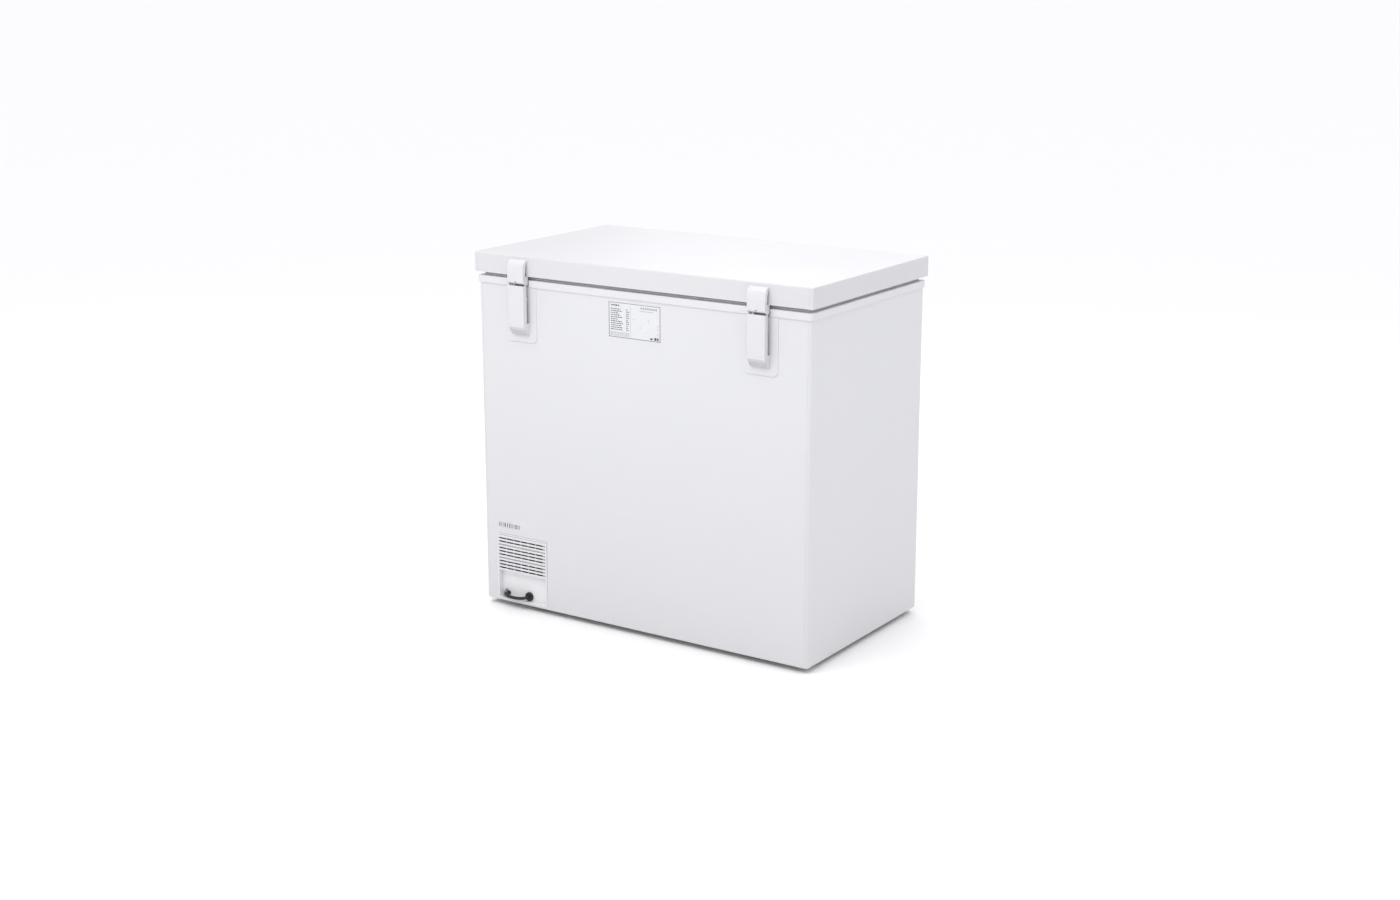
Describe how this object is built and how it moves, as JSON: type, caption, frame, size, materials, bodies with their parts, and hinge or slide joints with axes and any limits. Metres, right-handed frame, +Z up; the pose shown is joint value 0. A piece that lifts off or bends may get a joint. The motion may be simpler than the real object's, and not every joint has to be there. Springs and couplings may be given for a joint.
{
  "type": "chest freezer",
  "caption": "Small free-standing chest freezer with a top-hinged insulated lid, stepped storage well, rear machine compartment grille and a mains cord.",
  "frame": {"origin": "on the floor under the middle of the overall box, cord left out", "axes": "+X to the right as seen from the front, +Y to the hinge side at the back, +Z up"},
  "size_m": [0.905, 0.546, 0.85],
  "materials": {
    "black_metal": "gloss",
    "black_plastic": "satin",
    "black_rubber": "matte",
    "coated_steel": "satin",
    "coated_wire": "gloss",
    "copper": "satin",
    "foam": "matte",
    "gasket_rubber": "matte",
    "label_film": "matte",
    "lamp_lens": "gloss",
    "liner_sheet": "satin",
    "matt_white_plastic": "matte",
    "white_plastic": "satin",
    "zinc_steel": "satin"
  },
  "bodies": {
    "cabinet": {"back_panel": "coated_steel", "base_pan": "zinc_steel", "capillary_tube": "copper", "compressor_bolts": "zinc_steel", "compressor_grommets": "black_rubber", "compressor_lower_shell": "black_metal", "compressor_mount_plate": "black_metal", "compressor_pump": "black_metal", "compressor_upper_shell": "black_metal", "condenser_coil": "copper", "control_bezel": "white_plastic", "cord_coil": "black_plastic", "cord_gland": "black_plastic", "discharge_tube": "copper", "drain_tube": "matt_white_plastic", "evaporator_coil": "copper", "feet": "black_rubber", "filter_drier": "copper", "foam_insulation": "foam", "front_panel": "coated_steel", "hinge_base_plate_left": "coated_steel", "hinge_base_plate_right": "coated_steel", "hinge_base_screws": "zinc_steel", "hinge_housing_left": "white_plastic", "hinge_housing_right": "white_plastic", "hinge_pins": "zinc_steel", "hinge_spring_left": "zinc_steel", "hinge_spring_right": "zinc_steel", "indicator_lamps": "lamp_lens", "inner_liner": "liner_sheet", "left_side_panel": "coated_steel", "machine_bulkhead": "zinc_steel", "power_cord": "black_plastic", "power_plug": "black_plastic", "rating_label": "label_film", "rear_grille_cover": "white_plastic", "right_side_panel": "coated_steel", "side_grille": "white_plastic", "stock_label": "label_film", "suction_tube": "copper", "supply_lead": "black_plastic", "terminal_cover": "black_plastic", "thermostat_body": "black_plastic", "top_frame": "white_plastic"},
    "lid": {"lid_outer_skin": "coated_steel", "lid_inner_panel": "white_plastic", "lid_foam": "foam", "lid_gasket": "gasket_rubber", "lid_handle": "white_plastic", "hinge_lid_bracket_left": "zinc_steel", "hinge_lid_bracket_right": "zinc_steel", "hinge_cover_left": "white_plastic", "hinge_cover_right": "white_plastic", "hinge_lid_screws": "zinc_steel"},
    "basket": {"wire_basket": "coated_wire"},
    "knob": {"thermostat_knob": "white_plastic"},
    "drain_plug": {"drain_plug": "matt_white_plastic"},
    "drain_cap": {"drain_cap": "matt_white_plastic"},
    "plunger_left": {"hinge_plunger_left": "zinc_steel"},
    "plunger_right": {"hinge_plunger_right": "zinc_steel"}
  },
  "joints": [
    {"name": "lid_hinge", "type": "hinge", "parent": "cabinet", "child": "lid", "pos_m": [0, 0.262, 0.795], "axis": [-1, 0, 0], "range_deg": [0, 85]},
    {"name": "basket_slide", "type": "slide", "parent": "cabinet", "child": "basket", "axis": [-1, 0, 0], "range_m": [0, 0.54]},
    {"name": "thermostat_turn", "type": "hinge", "parent": "cabinet", "child": "knob", "pos_m": [0.375, -0.26, 0.15], "axis": [0, -1, 0], "range_deg": [0, 270]},
    {"name": "drain_plug_pull", "type": "slide", "parent": "cabinet", "child": "drain_plug", "axis": [0, 0, 1], "range_m": [0, 0.025]},
    {"name": "drain_cap_pull", "type": "slide", "parent": "cabinet", "child": "drain_cap", "axis": [0, -1, 0], "range_m": [0, 0.02]},
    {"name": "plunger_left_rise", "type": "slide", "parent": "cabinet", "child": "plunger_left", "axis": [0, 0, 1], "range_m": [0, 0.0025], "deforming": ["hinge_spring_left"]},
    {"name": "plunger_right_rise", "type": "slide", "parent": "cabinet", "child": "plunger_right", "axis": [0, 0, 1], "range_m": [0, 0.0025], "deforming": ["hinge_spring_right"]}
  ],
  "couplings": [
    {"joint": "plunger_left_rise", "follows": "lid_hinge", "m_per_rad": 0.00168},
    {"joint": "plunger_right_rise", "follows": "lid_hinge", "m_per_rad": 0.00168}
  ]
}
